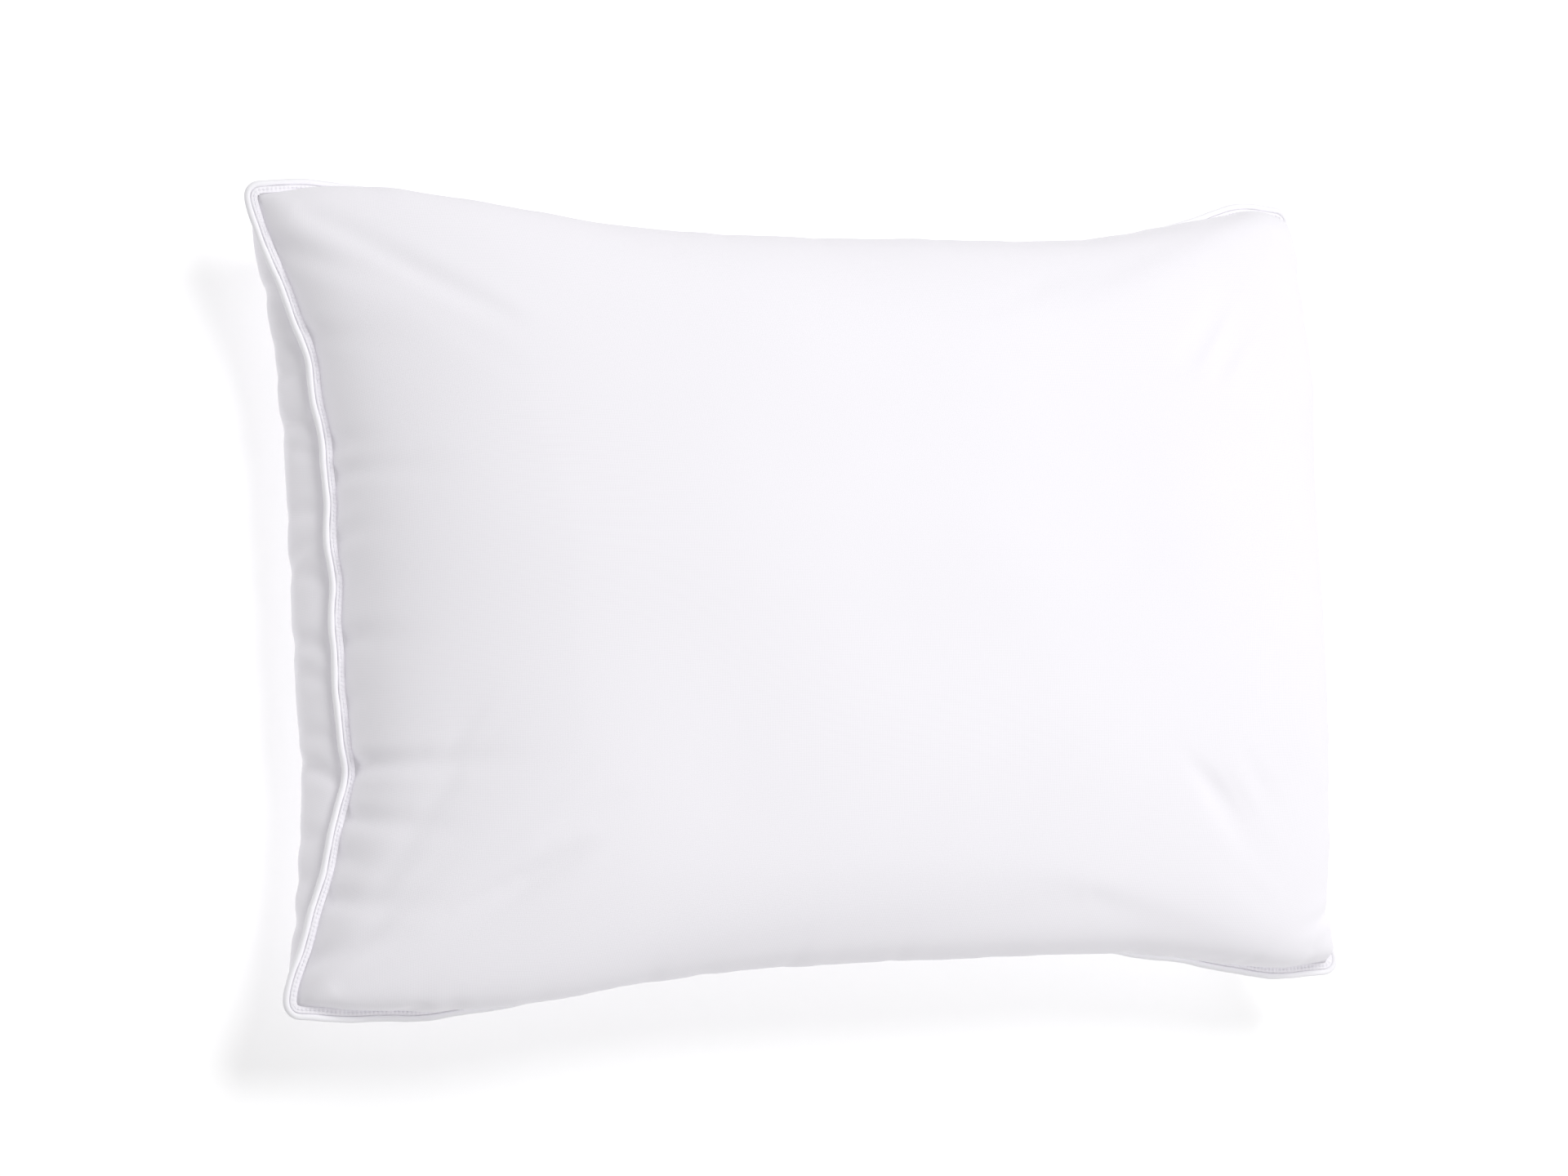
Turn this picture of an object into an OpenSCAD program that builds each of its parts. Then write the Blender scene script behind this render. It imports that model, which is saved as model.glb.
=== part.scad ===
// Bed pillow with a corded, topstitched edge, lying on its back panel.
// The origin is the middle of the flat patch that it rests on: +X runs along the length,
// +Y across the width and +Z up through the front panel.
// Places near the edge are written as [out, up]: out is measured outwards from the foot of
// the side walls, up from the seam plane.

/* [Overall size] */
// Length between the corner tips, over the cord
pillow_length = 715; // [550:5:1000]
// Width between the corner tips, over the cord
pillow_width = 490; // [400:5:600]
// Height of the front crown above the seam plane
front_crown = 98; // [70:1:125]
// Height of the seam plane above the surface that the pillow rests on
seam_height = 88; // [60:1:110]
// How far the weight presses the back crown flat
pressed_flat = 9; // [4:1:14]

/* [Pulled-in sides] */
// How far the left side is pulled in between its corners
left_dip = 41; // [10:1:55]
// How far the right side is pulled in between its corners
right_dip = 20; // [10:1:55]
// How far the upper long side is pulled in between its corners
upper_dip = 35; // [10:1:50]
// How far the lower long side is pulled in between its corners
lower_dip = 32; // [10:1:50]
// How far the lower seam sags outwards between its corners
lower_sag = 11.5; // [0:0.5:24]
// How far the front panel swells out past the foot of its wall
front_swell = 16; // [5:1:20]
// How far the left end of the front panel swells out past the foot of its wall
left_front_swell = 2; // [1:1:16]
// How far the back panel swells out past the foot of its wall
back_swell = 22; // [5:1:24]
// How far the front panel swells out over the lower seam
lower_front_swell = 14; // [0:1:18]
// How far the back panel swells out under the lower seam
lower_back_swell = 3; // [0:1:16]
// Radius of the wall foot at the four corners
corner_r = 3.5; // [2.5:0.5:8]

/* [Cloth and edge] */
// Thickness of the woven cotton cover
cloth = 0.35; // [0.25:0.05:0.5]
// Width of the flat topstitched edge inside the cord
flange_w = 4; // [3:0.5:8]
// Width of the turned-in seam allowance
allowance_w = 12; // [10:1:16]
// Diameter of the filler cord in the piping
cord_d = 3; // [2.5:0.1:5]
// Diameter of the sewing thread
thread_d = 0.26; // [0.2:0.02:0.3]
// Distance of the topstitching from the cord
topstitch_in = 2; // [1.2:0.1:2.5]
// Length of the filling opening that the closing stitch shuts
opening_l = 180; // [120:10:240]

/* [Care label] */
// Width of the label along the seam
label_w = 42; // [25:1:60]
// Length of the label from the seam to its free end
label_l = 40; // [30:1:45]
// Thickness of the label tape
label_t = 0.2; // [0.15:0.05:0.3]

/* [Hidden] */

white_cotton = [0.95, 0.945, 0.965];
white_fibre = [0.97, 0.97, 0.97];
white_thread = [0.99, 0.99, 0.99];

// Small gaps that keep one layer clear of the next
layer_gap = 0.05;
thread_gap = 0.02;
fill_gap = 0.4;

// Levels of the cloth layers in the flange, counted up from the seam plane
leg_top = cloth;
allowance_bottom = leg_top + layer_gap;
allowance_top = allowance_bottom + cloth;
skin_bottom = allowance_top + thread_d + 2 * thread_gap;
skin_top = skin_bottom + cloth;

// The piping: a filler cord in a bias strip, just outside the flange
cover_r = cord_d / 2 + cloth + layer_gap;
cord_out = flange_w + cover_r;
edge_out = flange_w + 2 * cover_r;
half_length = pillow_length / 2 - edge_out;
half_width = pillow_width / 2 - edge_out;
allowance_in = flange_w - allowance_w;
// How far in the wall's inner face meets the flange, as the wall leans out over it
fold_back = 2.5 * cloth;
overlock_w = 1;

// Shape of the sides and crowns
short_flatness = 3.9;
short_ease = 1.65;
long_flatness = 4.1;
long_ease = 3.8;
right_lean = -0.23;
upper_lean = 0.13;
lower_lean = 0.17;
fullness_x = 0.48;
fullness_y = 0.55;
// The left half of the front panel rises more gently
left_fullness = 0.8;
// Share of the swell that the long sides have
long_swell = 1.1;

// The label: its place from the middle of the right side, its bend and its sewn margin
label_place = -0.62;
bend_share = 0.625;
label_margin = 2;

// Numbers of points round the edge and from the middle to the edge
per_side = 22;
round_n = 4 * per_side;
crown_n = 11;
row_crowding = 1.9;
// How quickly the rounding of the corners dies away towards the middle of a crown
corner_hold = 8;

// Numbers of sides and steps of the small pieces
cord_sides = 8;
thread_sides = 4;
opening_steps = 12;
label_steps = 4;
bend_steps = 8;

// Share of the full pull-in at place w along a side, from -1 at one corner to 1 at the other
function pull(w, flatness, ease, lean) =
    let (v = min(max(w - lean * (1 - w * w), -1), 1))
    pow(1 - pow(abs(v), flatness), ease);

// Plan place of the point [u, w] of the unit square, whose edge is the foot of the walls
function plan(u, w) =
    let (dip_x = (1 + u) / 2 * right_dip * pull(w, short_flatness, short_ease, right_lean)
               + (1 - u) / 2 * left_dip * pull(w, short_flatness, short_ease, 0),
         dip_y = (1 + w) / 2 * upper_dip * pull(u, long_flatness, long_ease, upper_lean)
               + (1 - w) / 2 * (lower_dip * pull(u, long_flatness, long_ease, lower_lean)
                                - lower_sag * corner_fade(u)))
    [u * (half_length - dip_x), w * (half_width - dip_y)];

// Station j round the edge, as the angles whose sines are its place in the unit square
function station(j) =
    let (side = floor(j / per_side) % 4,
         step = (j % per_side) * 2 / per_side - 1,
         run = sign(step) * (1 - pow(1 - abs(step), 2)),
         along = asin(run))
    side == 0 ? [90, along] : side == 1 ? [-along, 90] : side == 2 ? [-90, -along] : [along, -90];

// How the corner radius moves the sharp corner's points inwards
function corner_shift(a) =
    let (u = sin(a[0]), w = sin(a[1]),
         ex = half_length * (1 - abs(u)), ey = half_width * (1 - abs(w)),
         e = max(ex, ey), turn = 45 * (1 - e / corner_r),
         near = corner_r * (1 - cos(turn)), far = corner_r - corner_r * sin(turn) - e)
    e >= corner_r ? [0, 0]
        : ex > ey ? [-sign(u) * far, -sign(w) * near] : [-sign(u) * near, -sign(w) * far];

// The foot of the walls and its outward directions
foot = [for (j = [0 : round_n - 1])
    let (a = station(j)) plan(sin(a[0]), sin(a[1])) + corner_shift(a)];
function unit(v) = v / norm(v);
outward = [for (j = [0 : round_n - 1])
    let (next = foot[(j + 1) % round_n], last = foot[(j + round_n - 1) % round_n],
         t = unit(unit(next - foot[j]) + unit(foot[j] - last)))
    [t[1], -t[0]]];

// One station's point at [out, up] from the foot of the wall
function edge_point(j, out, up) =
    let (p = out >= 0 ? foot[j] + outward[j] * out
        : [foot[j][0] * (1 + out / half_length), foot[j][1] * (1 + out / half_width)])
    [p[0], p[1], seam_height + up];
function edge_ring(out, up) = [for (j = [0 : round_n - 1]) edge_point(j, out, up)];

// Height over the flange of a crown at angles a, as a share of its full height
function rise(angle, fullness) = pow(max(cos(angle), 0), fullness);
function swell_share(r) = 4 * r * (1 - r);

// How the swell dies away towards a corner, at place w along its side
function corner_fade(w) = pow(1 - pow(w, 4), 1.5);

// Crown point at angles a; side is 1 for the front and -1 for the back
function crown_point(a, side, shift) =
    let (u = sin(a[0]), w = sin(a[1]), left = side > 0 && u < 0,
         rx = rise(a[0], left ? left_fullness : fullness_x), ry = rise(a[1], fullness_y),
         swell = side > 0 ? front_swell : back_swell,
         full = side > 0 ? front_crown - skin_top : seam_height + pressed_flat - skin_top,
         out_x = sign(u) * (left ? left_front_swell : swell) * swell_share(rx) * corner_fade(w),
         swell_y = w > 0 ? swell * long_swell : side > 0 ? lower_front_swell : lower_back_swell,
         out_y = sign(w) * swell_y * swell_share(ry) * corner_fade(u),
         p = plan(u, w) + shift + [out_x, out_y],
         up = side * (skin_top + full * rx * ry))
    [p[0], p[1], max(seam_height + up, 0)];

// Rings of the crown's outer face, from near the middle to the foot of the wall
function crown_rows(side) = [for (i = [1 : crown_n])
    let (reach = 1 - pow(1 - i / crown_n, row_crowding))
    [for (j = [0 : round_n - 1])
        let (a = station(j)) crown_point(a * reach, side, corner_shift(a) * pow(reach, corner_hold))]];

// The same rings moved inwards by depth, square to the face
function inside_rows(rows, side, depth) = [for (i = [0 : len(rows) - 1])
    [for (j = [0 : round_n - 1])
        let (down = rows[min(i + 1, len(rows) - 1)][j] - rows[max(i - 1, 0)][j],
             round = rows[i][(j + 1) % round_n] - rows[i][(j + round_n - 1) % round_n])
        rows[i][j] - side * depth * unit(cross(down, round))]];

// Middle point of a crown's face
function pole(side, depth) =
    [0, 0, side > 0 ? seam_height + front_crown - depth : depth];

// A closed skin through rings, from one pole point to another. Its second half is cut into
// triangles the other way, so the two faces of a panel have the same creases
module capped_solid(first, rings, last) {
    n = len(rings[0]);
    m = len(rings);
    points = concat([first], [for (r = rings) for (p = r) p], [last]);
    function at(i, j) = 1 + i * n + j % n;
    faces = concat(
        [for (j = [0 : n - 1]) [0, at(0, j + 1), at(0, j)]],
        [for (i = [0 : m - 2]) for (j = [0 : n - 1])
            [at(i, j), at(i, j + 1), at(i + 1, i < m / 2 ? j : j + 1)]],
        [for (i = [0 : m - 2]) for (j = [0 : n - 1])
            [at(i, i < m / 2 ? j + 1 : j), at(i + 1, j + 1), at(i + 1, j)]],
        [for (j = [0 : n - 1]) [m * n + 1, at(m - 1, j), at(m - 1, j + 1)]]);
    polyhedron(points, faces);
}

// A closed band: the profile's [out, up] points, in order, carried all the way round the edge
module edge_band(profile) {
    m = len(profile);
    points = [for (p = profile) for (q = edge_ring(p[0], p[1])) q];
    function at(i, j) = (i % m) * round_n + j % round_n;
    polyhedron(points, concat(
        [for (i = [0 : m - 1]) for (j = [0 : round_n - 1]) [at(i, j), at(i, j + 1), at(i + 1, j)]],
        [for (i = [0 : m - 1]) for (j = [0 : round_n - 1])
            [at(i, j + 1), at(i + 1, j + 1), at(i + 1, j)]]));
}

// A strip along part of the right side: each cross-section is a list of [out, up] points
// that runs out along one face and back along the other
module side_strip(middle, length, profile, steps) {
    m = len(profile);
    function foot_at(y) = plan(1, y / half_width);
    points = [for (k = [0 : steps])
        let (y = middle + (k / steps - 0.5) * length, p = foot_at(y))
        for (q = profile) [p[0] + q[0], y, seam_height + q[1]]];
    function at(k, i) = k * m + i % m;
    polyhedron(points, concat(
        [for (i = [0 : m / 2 - 2]) [i, i + 1, m - 2 - i, m - 1 - i]],
        [for (i = [0 : m / 2 - 2])
            [at(steps, m - 1 - i), at(steps, m - 2 - i), at(steps, i + 1), at(steps, i)]],
        [for (k = [0 : steps - 1]) for (i = [0 : m - 1]) [at(k, i + 1), at(k, i), at(k + 1, i)]],
        [for (k = [0 : steps - 1]) for (i = [0 : m - 1])
            [at(k + 1, i + 1), at(k, i + 1), at(k + 1, i)]]));
}

// Points round a small circle in [out, up], clockwise seen along the edge
function circle_profile(out, up, d, sides) =
    [for (k = [0 : sides - 1]) [out, up] + d / 2 * [cos(360 * k / sides), -sin(360 * k / sides)]];

// A woven panel: crown, flat flange, fold against the cord and turned-in allowance
module panel(side) {
    outer = crown_rows(side);
    inner = inside_rows(outer, side, cloth);
    fold = [[flange_w - cloth, skin_top], [flange_w, (skin_top + allowance_bottom) / 2],
            [flange_w - cloth, allowance_bottom], [allowance_in, allowance_bottom],
            [allowance_in, allowance_top], [flange_w - 2 * cloth, allowance_top],
            [flange_w - 2 * cloth, skin_bottom], [-fold_back, skin_bottom]];
    rings = concat(outer, [for (p = fold) edge_ring(p[0], side * p[1])],
                   [for (i = [crown_n - 2 : -1 : 0]) inner[i]]);
    ordered = side > 0 ? rings : [for (i = [len(rings) - 1 : -1 : 0]) rings[i]];
    capped_solid(pole(side, side > 0 ? 0 : cloth), ordered, pole(side, side > 0 ? cloth : 0));
}

module front_panel() { color(white_cotton) panel(1); }

module back_panel() { color(white_cotton) panel(-1); }

// The filling, with a groove round it that clears the seam allowances
module fibre_fill() {
    depth = cloth + fill_gap;
    front = inside_rows(crown_rows(1), 1, depth);
    back = inside_rows(crown_rows(-1), -1, depth);
    groove = [allowance_in - overlock_w - 3 * fill_gap, allowance_top + 3 * fill_gap];
    rings = concat([for (i = [0 : crown_n - 2]) front[i]],
                   [edge_ring(groove[0], groove[1]), edge_ring(groove[0], -groove[1])],
                   [for (i = [crown_n - 2 : -1 : 0]) back[i]]);
    color(white_fibre) capped_solid(pole(1, depth), rings, pole(-1, depth));
}

module piping_cord() {
    color(white_fibre) edge_band(circle_profile(cord_out, 0, cord_d, cord_sides));
}

// The bias strip: round the cord, with two legs between the allowances
module piping_cover() {
    slit = layer_gap / 2;
    inner_r = cover_r - cloth;
    outer_turn = asin(leg_top / cover_r);
    inner_turn = asin(slit / inner_r);
    outer = [for (k = [0 : cord_sides])
        let (a = 180 - outer_turn - k / cord_sides * (360 - 2 * outer_turn))
        [cord_out + cover_r * cos(a), cover_r * sin(a)]];
    inner = [for (k = [0 : cord_sides - 1])
        let (a = 180 + inner_turn + k / (cord_sides - 1) * (360 - 2 * inner_turn))
        [cord_out + inner_r * cos(a), inner_r * sin(a)]];
    color(white_cotton) edge_band(concat([[allowance_in, leg_top]], outer,
        [[allowance_in, -leg_top], [allowance_in, -slit]], inner, [[allowance_in, slit]]));
}

// The seam's needle and bobbin threads, inside the folds
module seam_thread() {
    level = allowance_top + thread_gap + thread_d / 2;
    color(white_thread) for (side = [1, -1])
        edge_band(circle_profile(flange_w - 3 * cloth, side * level, thread_d, thread_sides));
}

module topstitch(side) {
    level = skin_top + thread_gap + thread_d / 2;
    color(white_thread)
        edge_band(circle_profile(flange_w - topstitch_in, side * level, thread_d, thread_sides));
}

module topstitch_needle_thread() { topstitch(1); }

module topstitch_bobbin_thread() { topstitch(-1); }

// The bead of looped thread that binds the raw edges of the allowances
module overlock_thread() {
    out = allowance_in - layer_gap;
    color(white_thread) edge_band([[out, allowance_top], [out, -allowance_top],
        [out - overlock_w, -allowance_top], [out - overlock_w, allowance_top]]);
}

// Second row of stitches over the filling opening, on both faces of the flange
module closing_stitch() {
    level = skin_top + thread_gap + thread_d / 2;
    color(white_thread) for (side = [1, -1])
        side_strip(0, opening_l, circle_profile(flange_w - topstitch_in / 2 + thread_d,
                   side * level, thread_d, thread_sides), opening_steps);
}

// The label lies on the back flange, passes under the cord and hangs beside the back wall
label_y = label_place * half_width;
label_bend = label_l * bend_share * 2 / PI;
label_start = flange_w - topstitch_in + 2 * thread_d;
label_level = -(cover_r + layer_gap);
function label_turn(f) = 90 * min(f / bend_share, 1);
function label_path(f) =
    let (turn = label_turn(f), hang = label_l * max(f - bend_share, 0))
    [label_start + label_bend * sin(turn), label_level - label_bend * (1 - cos(turn)) - hang];
module care_label() {
    top = [for (k = [0 : bend_steps]) label_path(k / bend_steps)];
    under = [for (k = [bend_steps : -1 : 0])
        let (turn = label_turn(k / bend_steps)) top[k] - label_t * [sin(turn), cos(turn)]];
    color(white_thread) side_strip(label_y, label_w, concat(top, under), label_steps);
}

// The short row that holds the label to the back flange
module label_stitch() {
    level = label_level - label_t - thread_gap - thread_d / 2;
    color(white_thread) side_strip(label_y, label_w - 2 * label_margin,
        circle_profile(label_start + 2 * thread_d, level, thread_d, thread_sides), label_steps);
}

front_panel();
back_panel();
fibre_fill();
piping_cord();
piping_cover();
seam_thread();
topstitch_needle_thread();
topstitch_bobbin_thread();
overlock_thread();
closing_stitch();
care_label();
label_stitch();
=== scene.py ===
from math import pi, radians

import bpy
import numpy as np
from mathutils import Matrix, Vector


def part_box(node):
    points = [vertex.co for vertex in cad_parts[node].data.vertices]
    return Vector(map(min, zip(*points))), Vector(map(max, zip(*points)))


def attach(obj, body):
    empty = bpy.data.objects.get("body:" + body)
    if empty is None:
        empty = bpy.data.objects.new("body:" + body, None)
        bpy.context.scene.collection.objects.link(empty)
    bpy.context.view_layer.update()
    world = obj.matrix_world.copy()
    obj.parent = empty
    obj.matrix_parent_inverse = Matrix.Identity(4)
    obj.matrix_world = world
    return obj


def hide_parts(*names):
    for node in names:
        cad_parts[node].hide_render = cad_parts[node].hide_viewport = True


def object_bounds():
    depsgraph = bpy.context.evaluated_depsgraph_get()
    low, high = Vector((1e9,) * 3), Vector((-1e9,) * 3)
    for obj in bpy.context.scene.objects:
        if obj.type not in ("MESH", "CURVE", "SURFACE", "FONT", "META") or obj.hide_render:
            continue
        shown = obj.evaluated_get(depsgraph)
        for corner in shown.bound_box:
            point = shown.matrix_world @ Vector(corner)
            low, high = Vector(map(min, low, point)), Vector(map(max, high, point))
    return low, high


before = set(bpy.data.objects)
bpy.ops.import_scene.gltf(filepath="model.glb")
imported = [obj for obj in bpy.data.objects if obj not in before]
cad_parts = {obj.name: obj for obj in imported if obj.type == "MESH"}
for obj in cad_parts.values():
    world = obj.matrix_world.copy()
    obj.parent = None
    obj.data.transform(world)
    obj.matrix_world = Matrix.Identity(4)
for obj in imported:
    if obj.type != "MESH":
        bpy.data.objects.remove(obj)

# A white bed pillow: two cotton percale panels over a fibre fill, with a corded edge, a narrow
# topstitched flange inside the cord and a care label on the back. It lies on its back panel.
# Lengths are in metres. Places near the edge are [out, up]: out from the foot of the side walls,
# up from the seam plane.

cad_low, cad_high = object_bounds()

# ---------------------------------------------------------------- sizes

MM = 0.001
CLOTH = 0.35 * MM
THREAD = 0.26 * MM
LAYER_GAP = 0.05 * MM
THREAD_GAP = 0.02 * MM
FLANGE = 4 * MM
CORD = 3 * MM
TOPSTITCH_IN = 2 * MM
ALLOWANCE = 12 * MM
OPENING = 180 * MM
LABEL_WIDE, LABEL_LONG, LABEL_THICK = 42 * MM, 40 * MM, 0.2 * MM

ALLOWANCE_TOP = 2 * CLOTH + LAYER_GAP
SKIN_TOP = ALLOWANCE_TOP + THREAD + 2 * THREAD_GAP + CLOTH
COVER_R = CORD / 2 + CLOTH + LAYER_GAP
CORD_OUT = FLANGE + COVER_R
EDGE_OUT = FLANGE + 2 * COVER_R

seam_low, seam_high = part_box("piping_cord")
SEAM_Z = (seam_low[2] + seam_high[2]) / 2
# What the rounding of the corners takes off the reach of the edge, along and across
CORNER_LOSS_X, CORNER_LOSS_Y = 0.75 * MM, 0.2 * MM
HALF_LENGTH = (cad_high[0] - cad_low[0]) / 2 - EDGE_OUT + CORNER_LOSS_X
HALF_WIDTH = cad_high[1] - EDGE_OUT + CORNER_LOSS_Y
FRONT_HEIGHT = cad_high[2] - SEAM_Z - SKIN_TOP
PRESSED_FLAT = 9 * MM
BACK_HEIGHT = SEAM_Z + PRESSED_FLAT - SKIN_TOP

LEFT_DIP, RIGHT_DIP, UPPER_DIP, LOWER_DIP = 41 * MM, 20 * MM, 35 * MM, 32 * MM
FRONT_SWELL, BACK_SWELL, LONG_SWELL = 16 * MM, 22 * MM, 1.1
FULL_X, FULL_Y = 0.48, 0.55
LEFT_SWELL, FULL_LEFT = 2 * MM, 0.8
LOWER_SAG, LOWER_FRONT_SWELL, LOWER_BACK_SWELL = 11.5 * MM, 14 * MM, 3 * MM

# A dip between two corners: how flat its middle is, how softly it ends and which way it leans
SHORT_FLATNESS, SHORT_EASE, RIGHT_LEAN = 3.9, 1.65, -0.23
LONG_FLATNESS, LONG_EASE, UPPER_LEAN, LOWER_LEAN = 4.1, 3.8, 0.13, 0.17

# Where the edge strays from its curve: (how far, its middle from -1 to 1 along the side, its spread)
UPPER_LEFT_CURL = 5 * MM, -0.9, 0.14
UPPER_RIGHT_CURL = 4 * MM, 0.93, 0.06
LOWER_LEFT_CURL = 1.5 * MM, -0.9, 0.1
RIGHT_UPPER_TUCK = 3 * MM, 0.75, 0.15
RIGHT_LOWER_TUCK = 6 * MM, -0.84, 0.1
LEFT_NIP = 7 * MM, -0.43, 0.07
# How far the small gathers move the seam on the short sides and on the long ones
GATHER_X, GATHER_Y = 0.7 * MM, 0.5 * MM

# Puckers that are scattered along a seam, in millimetres: (spacing, depth)
RIGHT_PUCKERS, UPPER_PUCKERS, LOWER_PUCKERS = (26, 2.0), (34, 0.6), (34, 0.8)
LUMP_SIZE, LUMP_HEIGHT, LUMP_FADE = 0.14, 0.6 * MM, 0.04
BEFORE_INFLATING = 0.6
CLOTH_MOVE = 2.5 * MM
CLOTH_FRAMES = 20
ROOM_ABOVE = 4 * MM
PUCKER_START, BACK_PUCKER_RUN = 7 * MM, 34 * MM

FILL_INSET, FILL_CELL = 8 * MM, 12 * MM
CORD_TWIST = 9 * MM
OVERLOCK_LOOP = 3 * MM
# Thread is drawn thicker than it is, so that the stitches show; each lies a little across its row
THREAD_DRAWN = 1.7
STITCH_SLANT = radians(7)

# The length of edge that the rounding of a corner spreads over
ROUNDED_RUN = 8 * MM
CELL = 5.5 * MM
STITCH = 2.65 * MM


# ---------------------------------------------------------------- outline and crowns

def bump(x, middle, spread):
    return np.exp(-((x - middle) / spread) ** 2)


def stray(x, size, middle, spread):
    return size * bump(x, middle, spread)


def pull(w, flatness, ease, lean):
    v = np.clip(w - lean * (1 - w * w), -1, 1)
    return (1 - np.abs(v) ** flatness) ** ease


def plan(u, w):
    """Plan place of the point (u, w) of the unit square, whose edge is the foot of the walls."""
    right, left, upper, lower = (1 + u) / 2, (1 - u) / 2, (1 + w) / 2, (1 - w) / 2
    dip_x = right * RIGHT_DIP * pull(w, SHORT_FLATNESS, SHORT_EASE, RIGHT_LEAN)
    dip_x = dip_x + left * LEFT_DIP * pull(w, SHORT_FLATNESS, SHORT_EASE, 0)
    lower_dip = LOWER_DIP * pull(u, LONG_FLATNESS, LONG_EASE, LOWER_LEAN)
    dip_y = upper * UPPER_DIP * pull(u, LONG_FLATNESS, LONG_EASE, UPPER_LEAN)
    dip_y = dip_y + lower * (lower_dip - LOWER_SAG * corner_fade(u))
    x = u * (HALF_LENGTH - dip_x)
    y = w * (HALF_WIDTH - dip_y)
    # three corners curl outwards, all but the lower right, and the right side is drawn in near its ends
    y = y + upper ** 6 * (stray(u, *UPPER_LEFT_CURL) + stray(u, *UPPER_RIGHT_CURL))
    y = y - lower ** 6 * stray(u, *LOWER_LEFT_CURL)
    x = x - right ** 6 * (stray(w, *RIGHT_UPPER_TUCK) + stray(w, *RIGHT_LOWER_TUCK))
    return x, y


def seam_wander(u, w):
    """How the seam itself strays from the outline: a nip on the left, and small gathers."""
    right, left, upper, lower = (1 + u) / 2, (1 - u) / 2, (1 + w) / 2, (1 - w) / 2
    gather_x = GATHER_X * (np.sin(21 * w + 1) + np.sin(34 * w)) * (1 - w ** 8)
    gather_y = GATHER_Y * (np.sin(27 * u) + np.sin(45 * u + 2)) * (1 - u ** 8)
    dx = left ** 6 * stray(w, *LEFT_NIP) + (left ** 8 - right ** 8) * gather_x
    return dx, (lower ** 8 - upper ** 8) * gather_y


def swell_share(rise):
    """Share of a swell at this share of the height: none at the foot and the top, all halfway."""
    return 4 * rise * (1 - rise)


def corner_fade(w):
    """Fades to nothing at both ends of a side."""
    return (1 - w ** 4) ** 1.5


def crown(a0, a1, side, depth=0.0):
    """Points of a panel's face at angles a0 along and a1 across; side is 1 for the front."""
    u, w = np.sin(a0), np.sin(a1)
    left_front = (u < 0) & (side > 0)
    full_x = np.where(left_front, FULL_LEFT, FULL_X)
    rise_x, rise_y = np.cos(a0).clip(0) ** full_x, np.cos(a1).clip(0) ** FULL_Y
    swell = np.where(left_front, LEFT_SWELL, FRONT_SWELL if side > 0 else BACK_SWELL)
    height = FRONT_HEIGHT if side > 0 else BACK_HEIGHT
    x, y = plan(u, w)
    stray_x, stray_y = seam_wander(u, w)
    low = (1 - rise_x * rise_y) ** 3
    x, y = x + stray_x * low, y + stray_y * low
    x = x + np.sign(u) * swell * swell_share(rise_x) * corner_fade(w) - np.sign(u) * depth
    upper_swell = LONG_SWELL * (FRONT_SWELL if side > 0 else BACK_SWELL)
    swell = np.where(w < 0, LOWER_FRONT_SWELL if side > 0 else LOWER_BACK_SWELL, upper_swell)
    y = y + np.sign(w) * swell * swell_share(rise_y) * corner_fade(u) - np.sign(w) * depth
    z = SEAM_Z + side * (SKIN_TOP + (height - depth) * rise_x * rise_y)
    return np.stack([x, y, z], -1)


def even_angles(half, fullness, height, cells):
    """Angles that cut a section of this height into cells of equal length."""
    # the samples crowd at both ends, where the section is steepest
    near = np.linspace(0, 1, 500) ** 2.4
    a = pi / 2 * np.concatenate([near - 1, 1 - near[-2::-1]])
    run = np.hypot(np.diff(half * np.sin(a)), np.diff(height * np.cos(a).clip(0) ** fullness))
    run = np.concatenate([[0], np.cumsum(run)])
    return np.interp(np.linspace(0, run[-1], cells + 1), run, a), run[-1]


# ---------------------------------------------------------------- mesh helpers

def deselect():
    if bpy.context.object and bpy.context.object.mode != "OBJECT":
        bpy.ops.object.mode_set(mode="OBJECT")
    bpy.ops.object.select_all(action="DESELECT")


def named(name):
    piece = bpy.context.object
    piece.name = piece.data.name = name
    return piece


def points_of(piece):
    co = np.empty(len(piece.data.vertices) * 3)
    piece.data.vertices.foreach_get("co", co)
    return co.reshape(-1, 3)


def place(piece, points):
    piece.data.vertices.foreach_set("co", np.asarray(points, float).ravel())
    piece.data.update()


def settle(piece):
    """Leaves the piece at the origin, unturned, with its place in its mesh."""
    deselect()
    piece.select_set(True)
    bpy.context.view_layer.objects.active = piece
    bpy.ops.object.transform_apply(location=True, rotation=True, scale=True)


def scale_uv(piece, along, across):
    uv = np.empty(len(piece.data.loops) * 2)
    piece.data.uv_layers[0].data.foreach_get("uv", uv)
    uv = uv.reshape(-1, 2) * [along, across]
    piece.data.uv_layers[0].data.foreach_set("uv", uv.ravel())


def finish_with(piece, kind, **settings):
    """Adds a modifier and applies it."""
    deselect()
    piece.select_set(True)
    bpy.context.view_layer.objects.active = piece
    modifier = piece.modifiers.new(kind.title(), kind)
    for key, value in settings.items():
        setattr(modifier, key, value)
    bpy.ops.object.modifier_apply(modifier=modifier.name)


def join(pieces, name):
    deselect()
    for piece in pieces:
        piece.select_set(True)
    bpy.context.view_layer.objects.active = pieces[0]
    bpy.ops.object.join()
    return named(name)


# ---------------------------------------------------------------- the two panels

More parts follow.
